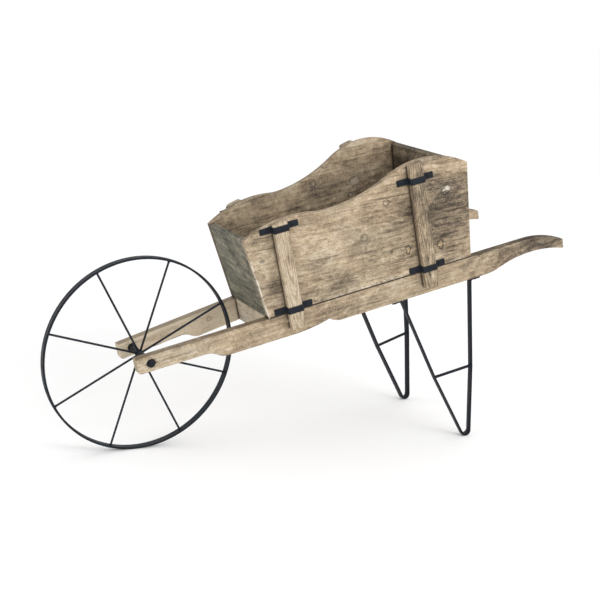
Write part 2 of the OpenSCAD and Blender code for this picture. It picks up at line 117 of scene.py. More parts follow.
def pieceNameOf(nodeName):
    words = nodeName.split("_")
    return words[0] + "".join(w.title() for w in words[1:])


merging = {"doubles": 1e-5, "flatDegrees": 0.4}


def mergedCopy(nodeName):
    # the node's triangles, merged into faces, as a new piece with the node's name in camelCase
    piece = bpy.data.objects.new(pieceNameOf(nodeName), nodes[nodeName].data.copy())
    bpy.context.scene.collection.objects.link(piece)
    piece.data.materials.clear()
    editMesh(piece)
    bpy.ops.mesh.remove_doubles(threshold=merging["doubles"])
    bpy.ops.mesh.dissolve_limited(angle_limit=math.radians(merging["flatDegrees"]))
    leaveEdit()
    return piece


def longEdgeRuns(piece, sharpness, shortest):
    # selects the sharp edges that join into a run longer than shortest, which leaves out the rims of holes
    editMesh(piece, "EDGE")
    bpy.ops.mesh.select_all(action="DESELECT")
    bpy.ops.mesh.edges_select_sharp(sharpness=math.radians(sharpness))
    leaveEdit()
    mesh = piece.data
    sharp = [e for e in mesh.edges if e.select]
    runOf = {}

    def root(i):
        while runOf.setdefault(i, i) != i:
            i = runOf[i]
        return i

    for e in sharp:
        runOf[root(e.vertices[0])] = root(e.vertices[1])
    length = {}
    for e in sharp:
        a, b = (mesh.vertices[i].co for i in e.vertices)
        length[root(e.vertices[0])] = length.get(root(e.vertices[0]), 0) + (a - b).length
    for e in sharp:
        e.select = length[root(e.vertices[0])] > shortest
    return any(e.select for e in sharp)


def easeEdges(piece, nodeName, width, segments=2, sharpness=35, shortest=0.15):
    if longEdgeRuns(piece, sharpness, shortest):
        bpy.ops.object.mode_set(mode="EDIT")
        bpy.ops.mesh.bevel(offset=width, segments=segments, affect="EDGES", clamp_overlap=False)
        leaveEdit()
    # a bevel can throw a point out where a run of edges meets a hole; such points are dissolved
    mesh = nodes[nodeName].data
    surface = BVHTree.FromPolygons([v.co for v in mesh.vertices], [face.vertices[:] for face in mesh.polygons])
    if pickPoints(piece, lambda co: surface.find_nearest(co)[3] > width):
        bpy.ops.mesh.dissolve_verts()
    leaveEdit()
    smooth(piece)


def finishPiece(piece, body, material, slot, *replaced):
    piece.data.materials.clear()
    piece.data.materials.append(material)
    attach(piece, body)
    if replaced:
        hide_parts(*replaced)


# building blocks of the materials

def newMaterial(name):
    material = bpy.data.materials.new(name)
    material.use_nodes = True
    material.node_tree.nodes.clear()
    return material, material.node_tree


def addNode(tree, kind, settings=None, **inputs):
    node = tree.nodes.new("ShaderNode" + kind)
    for name, value in (settings or {}).items():
        setattr(node, name, value)
    for name, value in inputs.items():
        feed(tree, node.inputs[name.replace("_", " ")], value)
    return node


def feed(tree, socket, value):
    if isinstance(value, bpy.types.NodeSocket):
        tree.links.new(value, socket)
    else:
        socket.default_value = value


def calc(tree, operation, a, b=0.0):
    node = addNode(tree, "Math", {"operation": operation})
    feed(tree, node.inputs[0], a)
    feed(tree, node.inputs[1], b)
    return node.outputs[0]


def mix(tree, factor, a, b, blend="MIX"):
    node = addNode(tree, "Mix", {"data_type": "RGBA", "blend_type": blend})
    feed(tree, node.inputs[0], factor)
    feed(tree, node.inputs[6], a if isinstance(a, bpy.types.NodeSocket) else (*a, 1))
    feed(tree, node.inputs[7], b if isinstance(b, bpy.types.NodeSocket) else (*b, 1))
    return node.outputs[2]


def spread(tree, value, low, high, outLow=0.0, outHigh=1.0):
    # outLow at low, outHigh at high, and a smooth step between them
    node = addNode(tree, "MapRange", {"interpolation_type": "SMOOTHSTEP"})
    for socket, number in zip(node.inputs, (value, low, high, outLow, outHigh)):
        feed(tree, socket, number)
    return node.outputs[0]


def noise(tree, place, scale, detail=4.0, roughness=0.55, distortion=0.0):
    node = addNode(tree, "TexNoise", Vector=place, Scale=scale, Detail=detail,
                   Roughness=roughness, Distortion=distortion)
    return node.outputs["Fac"]


def stretched(tree, place, scale, shift=(0.0, 0.0, 0.0)):
    return addNode(tree, "Mapping", Vector=place, Scale=scale, Location=shift).outputs[0]


# wood

edgeSense = {"samples": 6, "flat": 0.995, "corner": 0.82}  # flat and corner are cosines of the normal's turn


def edgeNearness(tree, radius):
    # 0 on a flat face, rising towards 1 at a corner of the piece
    rounded = addNode(tree, "Bevel", {"samples": edgeSense["samples"]}, Radius=radius)
    flat = addNode(tree, "NewGeometry")
    dot = addNode(tree, "VectorMath", {"operation": "DOT_PRODUCT"})
    tree.links.new(rounded.outputs[0], dot.inputs[0])
    tree.links.new(flat.outputs["Normal"], dot.inputs[1])
    return spread(tree, dot.outputs["Value"], edgeSense["flat"], edgeSense["corner"])


knotWobble = {"scale": 140.0, "detail": 2.0, "share": 0.9}  # share of the knot's radius


def knotMask(tree, place, knot):
    # distance from the knot's middle in the plane of the board, a little uneven
    gap = addNode(tree, "VectorMath", {"operation": "SUBTRACT"})
    feed(tree, gap.inputs[0], place)
    gap.inputs[1].default_value = (knot["u"], 0, knot["v"])
    flat = stretched(tree, gap.outputs[0], (1 / knot["stretch"], 0, 1))
    uneven = noise(tree, place, knotWobble["scale"], knotWobble["detail"])
    wobble = calc(tree, "MULTIPLY", calc(tree, "SUBTRACT", uneven, 0.5), knot["r"] * knotWobble["share"])
    length = addNode(tree, "VectorMath", {"operation": "LENGTH"})
    tree.links.new(flat, length.inputs[0])
    return calc(tree, "ADD", length.outputs["Value"], wobble)


def weighted(tree, start, *terms):
    # start plus each value's distance from its middle, times its weight
    total = start
    for value, weight in terms:
        total = calc(tree, "ADD", total, calc(tree, "MULTIPLY", calc(tree, "SUBTRACT", value, 0.5), weight))
    return total


def toneRamp(tree, tone, colours):
    node = addNode(tree, "ValToRGB", Fac=tone)
    ramp = node.color_ramp
    while len(ramp.elements) < len(colours):
        ramp.elements.new(0.5)
    for number, colour in enumerate(colours):
        ramp.elements[number].position = number / (len(colours) - 1)
        ramp.elements[number].color = (*colour, 1)
    return node.outputs["Color"]


# the noises in the wood, with their scales along and across the grain in waves a metre
grainLayers = {
    "drift": {"along": 2.6, "across": 9, "detail": 3.0},
    "fibre": {"along": 16, "across": 270, "detail": 4.0, "roughness": 0.75},
    "line": {"along": 8, "across": 170, "detail": 2.0, "roughness": 0.6, "shift": (1, 7, 4)},
    "streak": {"along": 5.0, "across": 75, "detail": 6.0, "roughness": 0.65, "distortion": 0.3},
    "cloud": {"along": 6.5, "across": 11, "detail": 7.0, "roughness": 0.62, "distortion": 0.8},
    "blotch": {"along": 30.0, "across": 44, "detail": 7.0, "roughness": 0.72, "distortion": 1.2},
    "speck": {"along": 230, "across": 480, "detail": 4.0, "roughness": 0.7},
    "crack": {"along": 7.0, "across": 130, "detail": 3.0, "roughness": 0.6, "distortion": 0.2, "shift": (3, 1, 2)},
    "greyed": {"along": 9.0, "across": 18, "detail": 5.0, "roughness": 0.6, "distortion": 0.5, "shift": (5, 5, 5)},
    "blush": {"along": 7.0, "across": 13, "detail": 4.0, "roughness": 0.6, "distortion": 0.5, "shift": (2, 9, 6)},
}
# the values between which each mark fades in
markLevels = {
    "ring": (-0.2, 1.0), "line": (0.50, 0.66), "greyed": (0.47, 0.66), "blush": (0.45, 0.62),
    "crack": (0.61, 0.68), "crackStreak": (0.62, 0.42), "rimSpeck": (0.38, 0.58), "heartSpeck": (0.40, 0.55),
    "chipSpeck": (0.58, 0.66), "upward": (0.5, 0.95), "nearEdge": (0.15, 0.6), "rubbedAndHighlitEdge": (0.35, 0.75),
    "rubAndHighlightBlotch": (0.44, 0.56), "scuffSpeck": (0.52, 0.66), "scuffBlotch": (0.60, 0.70), "nook": (0.93, 0.45),
    "roughStreak": (0.3, 0.7), "footBlotch": (0.50, 0.60), "frontBlotch": (0.42, 0.52),
}
# parts of a knot, in shares of its radius: where each starts and where it is full
knotParts = {"rimOutside": (1.35, 0.95), "rimInside": (0.5, 0.85), "heart": (0.8, 0.35), "chips": (1.5, 0.9)}
knotLook = {"raggedness": 2.2, "rimLeast": 0.5, "heartLeast": 0.35}
plainKnot = {"stretch": 1.5, "rim": 0.8, "fill": 0.8, "chips": 0.5}
plainPatch = {"stretch": 2.0}
patchShape = {"reach": 1.4, "fullShade": 1.15, "cloud": 1.6, "streak": 0.8}
edgeBand = {"radius": 0.005, "raggedness": 1.2}
# the dark band along a side board's foot is a painted shadow of the gap under it; the pale band is rubbed wood
footBand = {"pale": (0.0085, 0.0055), "paleness": 0.35, "dark": (0.0046, 0.0028), "gapShadowStrength": 0.95, "waver": 0.0016}
frontBand = {"fade": (1.4, 0.7), "topFade": 0.03, "softness": 0.0006}
relief = {"fibre": 0.8, "rings": -0.3, "streak": 0.5, "cracks": -0.9}
woodFinish = {"nookShadeSamples": 8, "smoothest": 0.74, "roughest": 0.9, "specular": 0.25, "bump": 0.55, "bumpDepth": 0.001}
seedStep = (1.37, 0.61, 0.29)


def grainNoise(tree, grain, layerName):
    layer = grainLayers[layerName]
    place = stretched(tree, grain, (layer["along"], layer["across"], layer["across"]), layer.get("shift", (0, 0, 0)))
    return noise(tree, place, 1.0, layer["detail"], layer.get("roughness", 0.55), layer.get("distortion", 0.0))


def fadeIn(tree, value, levelName, least=0.0, most=1.0):
    # from least to most between the two levels of a mark
    return spread(tree, value, *markLevels[levelName], least, most)


def times(tree, *values):
    total = values[0]
    for value in values[1:]:
        total = calc(tree, "MULTIPLY", total, value)
    return total


def growthRings(tree, wood, place, grain, middle):
    # rings run along the board, so its faces show long bands and its ends show arcs
    drift = grainNoise(tree, grain, "drift")
    start = tuple(off - at for off, at in zip(wood["pith"], middle))
    fromMiddle = addNode(tree, "Mapping", Vector=place, Location=start).outputs[0]
    fromPith = addNode(tree, "VectorMath", {"operation": "LENGTH"})
    tree.links.new(stretched(tree, fromMiddle, (wood["taper"], 1, 1)), fromPith.inputs[0])
    ringPlace = weighted(tree, fromPith.outputs["Value"], (drift, wood["wander"]))
    waves = calc(tree, "SINE", calc(tree, "MULTIPLY", ringPlace, 2 * math.pi / wood["ring"]))
    return fadeIn(tree, waves, "ring")


def footLine(tree, wood, place, blotch, colour):
    # a painted shadow line in the gap along the foot of a side board, with rubbed wood above it
    level = addNode(tree, "SeparateXYZ", Vector=place).outputs[2]
    rise = weighted(tree, calc(tree, "SUBTRACT", level, wood["foot"]), (blotch, footBand["waver"]))
    pale = times(tree, spread(tree, rise, *footBand["pale"]),
                 fadeIn(tree, blotch, "footBlotch", 0.0, footBand["paleness"]))
    colour = mix(tree, pale, colour, wood["worn"])
    return mix(tree, spread(tree, rise, *footBand["dark"], 0.0, footBand["gapShadowStrength"]), colour, wood["knotRimAndShade"])


def frontLine(tree, wood, place, blotch, colour):
    # a strip down the front end of a side board: pale on the near board, partly rubbed wear and partly a painted
    # highlight, and darkened on the far board
    front = wood["front"]
    axes = addNode(tree, "SeparateXYZ", Vector=place).outputs
    inward = calc(tree, "ADD",
                  times(tree, calc(tree, "SUBTRACT", axes[0], front["u"]), math.cos(front["lean"])),
                  times(tree, calc(tree, "SUBTRACT", axes[2], front["v"]), math.sin(front["lean"])))
    outer, inner = (share * front["reach"] for share in frontBand["fade"])
    strip = times(tree, spread(tree, inward, outer, inner, 0.0, front["strength"]),
                  fadeIn(tree, blotch, "frontBlotch", front["least"]),
                  spread(tree, axes[2], front["top"], front["top"] - frontBand["topFade"]),
                  spread(tree, inward, front["low"], front["low"] + frontBand["softness"]))
    return mix(tree, strip, colour, wood[front["colour"]])


def woodMaterial(name, wood, turn, seed, middle=(0, 0, 0), knots=(), patches=()):
    material, tree = newMaterial(name)
    here = addNode(tree, "TexCoord").outputs["Object"]
    fromHub = addNode(tree, "Mapping", Vector=here, Location=tuple(-hub)).outputs[0]
    place = addNode(tree, "Mapping", Vector=fromHub, Rotation=turn).outputs[0]
    grain = addNode(tree, "Mapping", Vector=place, Rotation=(0, wood["lean"], 0),
                    Location=tuple(seed * step for step in seedStep)).outputs[0]
    rings = growthRings(tree, wood, place, grain, middle)
    fibre, line, streak, cloud, blotch, speck, crack = (
        grainNoise(tree, grain, layer) for layer in ("fibre", "line", "streak", "cloud", "blotch", "speck", "crack"))

    tone = weighted(tree, wood["tone"], (cloud, wood["cloud"]), (streak, wood["streaks"]),
                    (fibre, wood["fibres"]), (blotch, wood["blotch"]), (speck, wood["specks"]),
                    (rings, -wood["ringDepth"]), (fadeIn(tree, line, "line"), -wood["lines"]))
    for patch in patches:
        size = patch["r"]
        spot = knotMask(tree, place, {**plainPatch, **patch})
        spot = weighted(tree, spot, (cloud, size * patchShape["cloud"]), (streak, size * patchShape["streak"]))
        shade = spread(tree, spot, size * patchShape["reach"], 0.0, 0.0, patch["shade"] * patchShape["fullShade"])
        tone = calc(tree, "ADD", tone, shade)
    colour = toneRamp(tree, tone, wood["tones"])
    greyed = fadeIn(tree, grainNoise(tree, grain, "greyed"), "greyed", 0.0, wood["greying"])
    colour = mix(tree, greyed, colour, wood["grey"], "MULTIPLY")
    colour = mix(tree, fadeIn(tree, grainNoise(tree, grain, "blush"), "blush"), colour, wood["blush"], "MULTIPLY")
    cracks = times(tree, fadeIn(tree, crack, "crack", 0.0, wood["cracks"]), fadeIn(tree, streak, "crackStreak"))
    colour = mix(tree, cracks, colour, wood["knotRimAndShade"])
    height = weighted(tree, 0.5, (fibre, relief["fibre"]), (rings, relief["rings"]),
                      (streak, relief["streak"]), (cracks, relief["cracks"]))

    for knot in knots:
        knot = {**plainKnot, **knot}
        spot = weighted(tree, knotMask(tree, place, knot), (blotch, knot["r"] * knotLook["raggedness"]))
        outside, inside, heart, chips = (
            spread(tree, spot, knot["r"] * start, knot["r"] * full) for start, full in knotParts.values())
        rim = times(tree, outside, inside,
                    fadeIn(tree, speck, "rimSpeck", knotLook["rimLeast"] * knot["rim"], knot["rim"]))
        colour = mix(tree, rim, colour, wood["knotRimAndShade"])
        heart = times(tree, heart, fadeIn(tree, speck, "heartSpeck", knotLook["heartLeast"], knot["fill"]))
        colour = mix(tree, heart, colour, knot["colour"])
        chips = times(tree, chips, fadeIn(tree, speck, "chipSpeck", 0.0, knot["chips"]))
        colour = mix(tree, chips, colour, wood["worn"])
        height = calc(tree, "SUBTRACT", height, rim)

    # what faces up is darkened, partly dust and partly painted shade; beside the edges the wood is darkened, partly
    # stain and partly painted shade of the joints; and the edges are pale, partly rubbed wear and partly a painted
    # highlight
    facing = addNode(tree, "SeparateXYZ", Vector=addNode(tree, "NewGeometry").outputs["Normal"]).outputs[2]
    colour = mix(tree, fadeIn(tree, facing, "upward", 0.0, wood["topDustAndShade"]), colour, wood["dirt"], "MULTIPLY")
    edge = edgeNearness(tree, edgeBand["radius"])
    ragged = weighted(tree, edge, (blotch, edgeBand["raggedness"]))
    colour = mix(tree, fadeIn(tree, ragged, "nearEdge", 0.0, wood["edgeStainAndShade"]), colour, wood["dirt"], "MULTIPLY")
    rubbedAndHighlit = times(tree, fadeIn(tree, edge, "rubbedAndHighlitEdge"), fadeIn(tree, blotch, "rubAndHighlightBlotch", 0.0, wood["rub"]))
    colour = mix(tree, rubbedAndHighlit, colour, wood["worn"])
    scuffs = times(tree, fadeIn(tree, speck, "scuffSpeck"), fadeIn(tree, blotch, "scuffBlotch", 0.0, wood["scuff"]))
    colour = mix(tree, scuffs, colour, wood["worn"])
    if "foot" in wood:
        colour = footLine(tree, wood, place, blotch, colour)
        colour = frontLine(tree, wood, place, blotch, colour)

    # painted shade in the joints and beside whatever is fixed on: an ambient occlusion node darkens the wood there
    nook = addNode(tree, "AmbientOcclusion", {"samples": woodFinish["nookShadeSamples"]}, Distance=wood["nook"])
    colour = mix(tree, fadeIn(tree, nook.outputs["AO"], "nook", 0.0, wood["grime"]), colour, wood["knotRimAndShade"])

    bump = addNode(tree, "Bump", Height=height, Strength=woodFinish["bump"], Distance=woodFinish["bumpDepth"])
    rough = fadeIn(tree, streak, "roughStreak", woodFinish["smoothest"], woodFinish["roughest"])
    shader = addNode(tree, "BsdfPrincipled", Base_Color=colour, Roughness=rough, Normal=bump.outputs[0])
    shader.inputs["Specular IOR Level"].default_value = woodFinish["specular"]
    out = addNode(tree, "OutputMaterial")
    tree.links.new(shader.outputs[0], out.inputs[0])
    return material


# tones run from the darkest to the palest, tone is the middle of what shows, ring and pith shape the growth
# rings in metres, and the other single numbers say how strongly each mark shows
stainedPine = {
    "tones": ((0.045, 0.034, 0.025), (0.125, 0.097, 0.070), (0.270, 0.211, 0.141), (0.43, 0.343, 0.232),
              (0.61, 0.52, 0.39)),
    "tone": 0.59, "cloud": 1.25, "streaks": 0.38, "fibres": 0.45, "blotch": 1.15, "specks": 1.1, "lines": 0.08,
    "ringDepth": 0.08, "ring": 0.012, "wander": 0.05, "pith": (0.2, 0.05, -0.08), "taper": 0.06, "lean": -0.08,
    "grey": (0.58, 0.58, 0.61), "greying": 0.6, "blush": (1.03, 0.985, 0.965),
    # the dirt colour also paints shade on what faces up and beside the edges, the dark knot colour also paints shade in
    # the joints and under a board's foot, and the worn colour also paints highlights on the edges
    "dirt": (0.36, 0.33, 0.30), "topDustAndShade": 0.35, "edgeStainAndShade": 0.8, "nook": 0.009, "grime": 0.9, "cracks": 0.65,
    "knotRimAndShade": (0.040, 0.030, 0.022), "worn": (0.84, 0.79, 0.70), "rub": 0.95, "scuff": 0.75,
}
paleBatten = {**stainedPine, "tone": 0.74, "cloud": 0.5, "streaks": 0.6, "fibres": 0.7, "ring": 0.0042,
              "ringDepth": 0.22, "lines": 0.12, "wander": 0.010, "pith": (-0.10, 0.012, 0.002), "taper": 0.09,
              "lean": 0.0, "greying": 0.3}
greyBatten = {**paleBatten, "tone": 0.46, "pith": (-0.05, 0.010, -0.003), "greying": 0.6}
shaftPine = {**stainedPine, "tone": 0.615, "cloud": 0.7, "topDustAndShade": 0.8, "lean": 0.0, "greying": 0.4, "cracks": 0.3,
             "rub": 1.0}
# foot is the height of a side board's lower edge; front is a strip down its front end, where u and v are the
# line's foot, lean its slope in radians, low and reach how far the strip goes to either side of the line
sideBoard = {**stainedPine, "tone": 0.575, "foot": 0.020, "lines": 0.15, "streaks": 0.46,
             "front": {"u": 0.3258, "v": 0.020, "lean": 0.126, "low": -0.0009, "reach": 0.0017, "top": 0.19,
                       "least": 0.05, "strength": 0.85, "colour": "worn"}}
farSide = {**sideBoard, "front": {**sideBoard["front"], "low": -0.01, "reach": 0.0010, "top": 0.30,
                                  "least": 0.8, "strength": 0.75, "colour": "knotRimAndShade"}}
# the far shaft's wood is a paler copy, painted light that lifts it out of the shade it stands in
farShaftPaintedLight = {**shaftPine, "tone": 1.0}
railPine = {**shaftPine, "tone": 0.88, "blush": (0.92, 0.98, 1.08), "greying": 1.0}
darkEnd = {**stainedPine,
           "tones": ((0.043, 0.038, 0.030), (0.118, 0.108, 0.084), (0.26, 0.235, 0.172), (0.41, 0.375, 0.285),
                     (0.59, 0.55, 0.45)),
           "tone": 0.305, "cloud": 0.85, "blotch": 0.85, "grey": (0.64, 0.69, 0.63), "greying": 0.85,
           "blush": (0.90, 0.96, 0.91), "scuff": 0.35, "lean": 0.15}
rearEnd = {**darkEnd, "tones": stainedPine["tones"], "tone": 0.25, "cloud": 1.25, "blotch": 1.15, "lean": 0.03}
roughFloor = {**darkEnd, "tone": 0.42, "cloud": 1.25, "blotch": 1.15, "scuff": 0.2, "lean": 0.0}

# turns from the barrow as it stands into a board's own frame, with the grain along x
sideTurn = {"left": (0, stance["incline"], stance["splay"]), "right": (0, stance["incline"], -stance["splay"])}
upright = {side: (0, stance["incline"] + math.pi / 2, 0) for side in sideTurn}
acrossTurn = (0, 0, -math.pi / 2)

# marks in the boards: u and v are in metres from the hub, in the board's own frame
amber = (0.42, 0.30, 0.14)
knotsOf = {
    "side_panel_left": (
        {"u": 0.727, "v": 0.089, "r": 0.0125, "colour": amber, "stretch": 0.55, "rim": 1.0, "chips": 0.6},
        {"u": 0.818, "v": 0.080, "r": 0.0105, "colour": amber, "stretch": 0.75, "rim": 1.0, "chips": 0.6},
        {"u": 0.684, "v": 0.229, "r": 0.0110, "colour": (0.30, 0.24, 0.16), "stretch": 0.9, "rim": 0.8, "fill": 0.3},
        {"u": 0.859, "v": 0.223, "r": 0.0105, "colour": (0.66, 0.61, 0.52), "rim": 0.5, "chips": 1.0},
        {"u": 0.612, "v": 0.156, "r": 0.0100, "colour": (0.34, 0.27, 0.18), "stretch": 1.0, "rim": 0.6, "fill": 0.3},
        {"u": 0.679, "v": 0.098, "r": 0.0038, "colour": (0.06, 0.05, 0.04), "stretch": 1.0, "chips": 0.0},
        {"u": 0.850, "v": 0.128, "r": 0.0036, "colour": (0.06, 0.05, 0.04), "stretch": 1.0, "chips": 0.0},
        {"u": 0.335, "v": 0.172, "r": 0.0045, "colour": (0.08, 0.06, 0.05), "rim": 0.7}),
    "side_panel_right": (
        {"u": 0.628, "v": 0.243, "r": 0.013, "colour": (0.30, 0.24, 0.17), "stretch": 0.8, "fill": 0.3, "chips": 1.0},
        {"u": 0.765, "v": 0.210, "r": 0.014, "colour": (0.42, 0.36, 0.27), "rim": 0.4, "chips": 1.0},
        {"u": 0.743, "v": 0.177, "r": 0.006, "colour": (0.42, 0.36, 0.27), "stretch": 1.0, "rim": 0.9},
        {"u": 0.442, "v": 0.11, "r": 0.009, "colour": amber}),
    "shaft_right": ({"u": 0.235, "v": -0.008, "r": 0.006, "colour": amber, "rim": 0.6},),
    "rear_panel": ({"u": 0.06, "v": 0.42, "r": 0.009, "colour": amber},),
}
patchesOf = {
    "side_panel_left": (
        {"u": 0.532, "v": 0.18, "r": 0.10, "shade": 0.10}, {"u": 0.512, "v": 0.07, "r": 0.05, "shade": -0.05},
        {"u": 0.844, "v": 0.16, "r": 0.12, "shade": -0.28, "stretch": 0.8},
        {"u": 0.713, "v": 0.13, "r": 0.06, "shade": -0.12, "stretch": 1.0},
        {"u": 0.643, "v": 0.115, "r": 0.035, "shade": -0.08},
        {"u": 0.356, "v": 0.12, "r": 0.045, "shade": -0.22, "stretch": 0.4},
        {"u": 0.411, "v": 0.215, "r": 0.02, "shade": 0.10}),
    "side_panel_right": (
        {"u": 0.613, "v": 0.16, "r": 0.20, "shade": -0.05}, {"u": 0.76, "v": 0.22, "r": 0.10, "shade": -0.14}),
    "shaft_left": (
        {"u": 1.095, "v": 0.0, "r": 0.10, "shade": -0.30, "stretch": 1.8},
        {"u": 0.089, "v": 0.0, "r": 0.12, "shade": 0.14, "stretch": 1.6},
        {"u": 0.48, "v": 0.0, "r": 0.07, "shade": -0.06, "stretch": 3.0}),
    "shaft_right": ({"u": 1.16, "v": 0.0, "r": 0.12, "shade": -0.35, "stretch": 2.0},),
    "batten_left_rear": ({"u": 0.20, "v": -0.76, "r": 0.05, "shade": -0.10},),
}

print("building the wooden pieces")

# ease is the width of the rounded edges, and a seed shifts the wood's noises
boards = []
for number, (side, shaftWood, sideWood) in enumerate((("left", shaftPine, sideBoard), ("right", farShaftPaintedLight, farSide))):
    boards.append({"node": "shaft_" + side, "wood": shaftWood, "turn": sideTurn[side],
                   "ease": 0.0015, "slot": "shaft_wood", "seed": 3 + 5 * number})
    boards.append({"node": "side_panel_" + side, "wood": sideWood, "turn": sideTurn[side],
                   "ease": 0.0018, "slot": "side_wood", "seed": 4 + 5 * number})
    for place, (end, wood) in enumerate((("front", paleBatten), ("rear", greyBatten))):
        boards.append({"node": "batten_%s_%s" % (side, end), "wood": wood, "turn": upright[side],
                       "ease": 0.0022, "slot": "batten_wood", "seed": 5 + 5 * number + 0.7 * place})
for number, (end, wood) in enumerate((("front", darkEnd), ("rear", rearEnd))):
    boards.append({"node": end + "_panel", "wood": wood, "turn": acrossTurn, "ease": 0.0014,
                   "slot": "end_wood", "seed": 20 + number})
    boards.append({"node": end + "_rail", "wood": railPine, "turn": acrossTurn, "ease": 0.0014,
                   "slot": "floor_wood", "seed": 23 + number})
for number in range(1, 6):
    boards.append({"node": "floor_board_%d" % number, "wood": roughFloor, "turn": acrossTurn, "ease": 0.001,
                   "slot": "floor_wood", "seed": 30 + number})

for board in boards:
    piece = mergedCopy(board["node"])
    easeEdges(piece, board["node"], board["ease"])
    low, high = (Vector(corner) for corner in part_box(board["node"]))
    middle = Euler(board["turn"]).to_matrix() @ ((low + high) / 2 - hub)
    finish = woodMaterial(piece.name + "Wood", board["wood"], board["turn"], board["seed"], middle,
                          knotsOf.get(board["node"], ()), patchesOf.get(board["node"], ()))
    finishPiece(piece, "frame", finish, board["slot"], board["node"])

# iron and steel

# noise scales in waves a metre, and the levels between which the paint's colour, its rubbed edges with their painted
# highlight, and roughness change
ironGrain = {"cloud": 22.0, "grit": 900.0, "scratch": (900, 240, 60), "edge": 0.0018, "bump": 0.25, "bumpDepth": 0.0003}
ironLevels = {"colour": (0.35, 0.7), "rubbedAndHighlit": (0.45, 0.65), "rough": (0.3, 0.7), "roughRange": 0.08, "wornRough": 0.1}


def ironMaterial(name, iron):
    material, tree = newMaterial(name)
    here = addNode(tree, "TexCoord").outputs["Object"]
    cloud = noise(tree, here, ironGrain["cloud"], 5.0)
    grit = noise(tree, here, ironGrain["grit"], 3.0)
    scratch = noise(tree, stretched(tree, here, ironGrain["scratch"]), 1.0, 3.0)
    colour = mix(tree, spread(tree, cloud, *ironLevels["colour"]), iron["dark"], iron["light"])
    # the paint's edges are lighter: partly rubbed wear, partly a painted highlight
    edge = edgeNearness(tree, ironGrain["edge"])
    rubbedAndHighlit = times(tree, edge, spread(tree, scratch, *ironLevels["rubbedAndHighlit"], iron["leastRubAndHighlight"], iron["rub"]))
    colour = mix(tree, rubbedAndHighlit, colour, iron["worn"])
    smoother, rougher = iron["rough"] - ironLevels["roughRange"], iron["rough"] + ironLevels["roughRange"]
    rough = calc(tree, "ADD", spread(tree, cloud, *ironLevels["rough"], smoother, rougher),
                 times(tree, rubbedAndHighlit, ironLevels["wornRough"]))
    bump = addNode(tree, "Bump", Height=calc(tree, "ADD", grit, cloud), Strength=ironGrain["bump"],
                   Distance=ironGrain["bumpDepth"])
    shader = addNode(tree, "BsdfPrincipled", Base_Color=colour, Roughness=rough, Normal=bump.outputs[0])
    shader.inputs["Metallic"].default_value = iron["metallic"]
    shader.inputs["Specular IOR Level"].default_value = iron["shine"]
    out = addNode(tree, "OutputMaterial")
    tree.links.new(shader.outputs[0], out.inputs[0])
    return material


blackPaint = ironMaterial("blackPaint", {
    "dark": (0.004, 0.006, 0.010), "light": (0.010, 0.014, 0.021), "worn": (0.085, 0.10, 0.12),
    "leastRubAndHighlight": 0.1, "rub": 0.7, "rough": 0.55, "metallic": 0.0, "shine": 0.2})
zincPlate = ironMaterial("zincPlate", {
    "dark": (0.32, 0.32, 0.32), "light": (0.52, 0.52, 0.51), "worn": (0.62, 0.62, 0.60),
    "leastRubAndHighlight": 0.1, "rub": 0.4, "rough": 0.42, "metallic": 1.0, "shine": 0.5})
turnedDowel = woodMaterial("turnedDowel", paleBatten, (0, 0, 0), 50)

print("building the iron pieces")


def joined(pieces, name):
    selectOnly(*pieces)
    bpy.ops.object.join()
    pieces[0].name = name
    return pieces[0]


def looseParts(piece):
    selectOnly(piece)
    bpy.ops.mesh.separate(type="LOOSE")
    return sorted(bpy.context.selected_objects,
                  key=lambda part: tuple(round(c, 4) for c in part.data.vertices[0].co))


def pointed(piece, place, axis):
    # stands a piece made upright at the origin along an axis at a place
    piece.matrix_world = Matrix.Translation(place) @ axis.to_track_quat("Z", "Y").to_matrix().to_4x4()
    settle(piece)
    return piece


def cutAway(piece, cutter, way="DIFFERENCE"):
    applyModifier(piece, "BOOLEAN", object=cutter, operation=way, solver="EXACT")
    bpy.data.objects.remove(cutter)


# a screw head's recess: its lengths are shares of the arms' span, which is a share of the head's radius;
# each recess is turned by turnStep radians from the last, and crownDepth says how flat a head's top is
recess = {"armWidth": 0.24, "height": 0.7, "tipLength": 0.55, "tipWidth": 0.7, "span": 1.05, "turnStep": 0.7,
          "crownDepth": 0.0001}


def crossCutter(span):
    # the four-armed tip of a screwdriver, pointing down, with half its height above z = 0
    arms = []
    for turn in (0, math.pi / 2):
        bpy.ops.mesh.primitive_cube_add(size=1, location=(0, 0, 0))
        arm = bpy.context.object
        bpy.ops.object.mode_set(mode="EDIT")
        bpy.ops.transform.resize(value=(span, span * recess["armWidth"], span * recess["height"]))
        leaveEdit()
        pickFaces(arm, lambda face: face.normal.z < -0.5)
        bpy.ops.transform.resize(value=(recess["tipLength"], recess["tipWidth"], 1), center_override=(0, 0, 0))
        leaveEdit()
        arm.matrix_world = Matrix.Rotation(turn, 4, "Z")
        settle(arm)
        arms.append(arm)
    cutAway(arms[0], arms[1], "UNION")
    return arms[0]


def outwardOf(part, flip):
    # the way a screw's head looks, square to the side board that it holds
    side = -1 if part.data.vertices[0].co.y < 0 else 1
    slant = stance["splay"]
    level = Vector((-math.sin(slant), side * math.cos(slant), 0)) * flip
    return Matrix.Rotation(-stance["incline"], 3, "Y") @ level


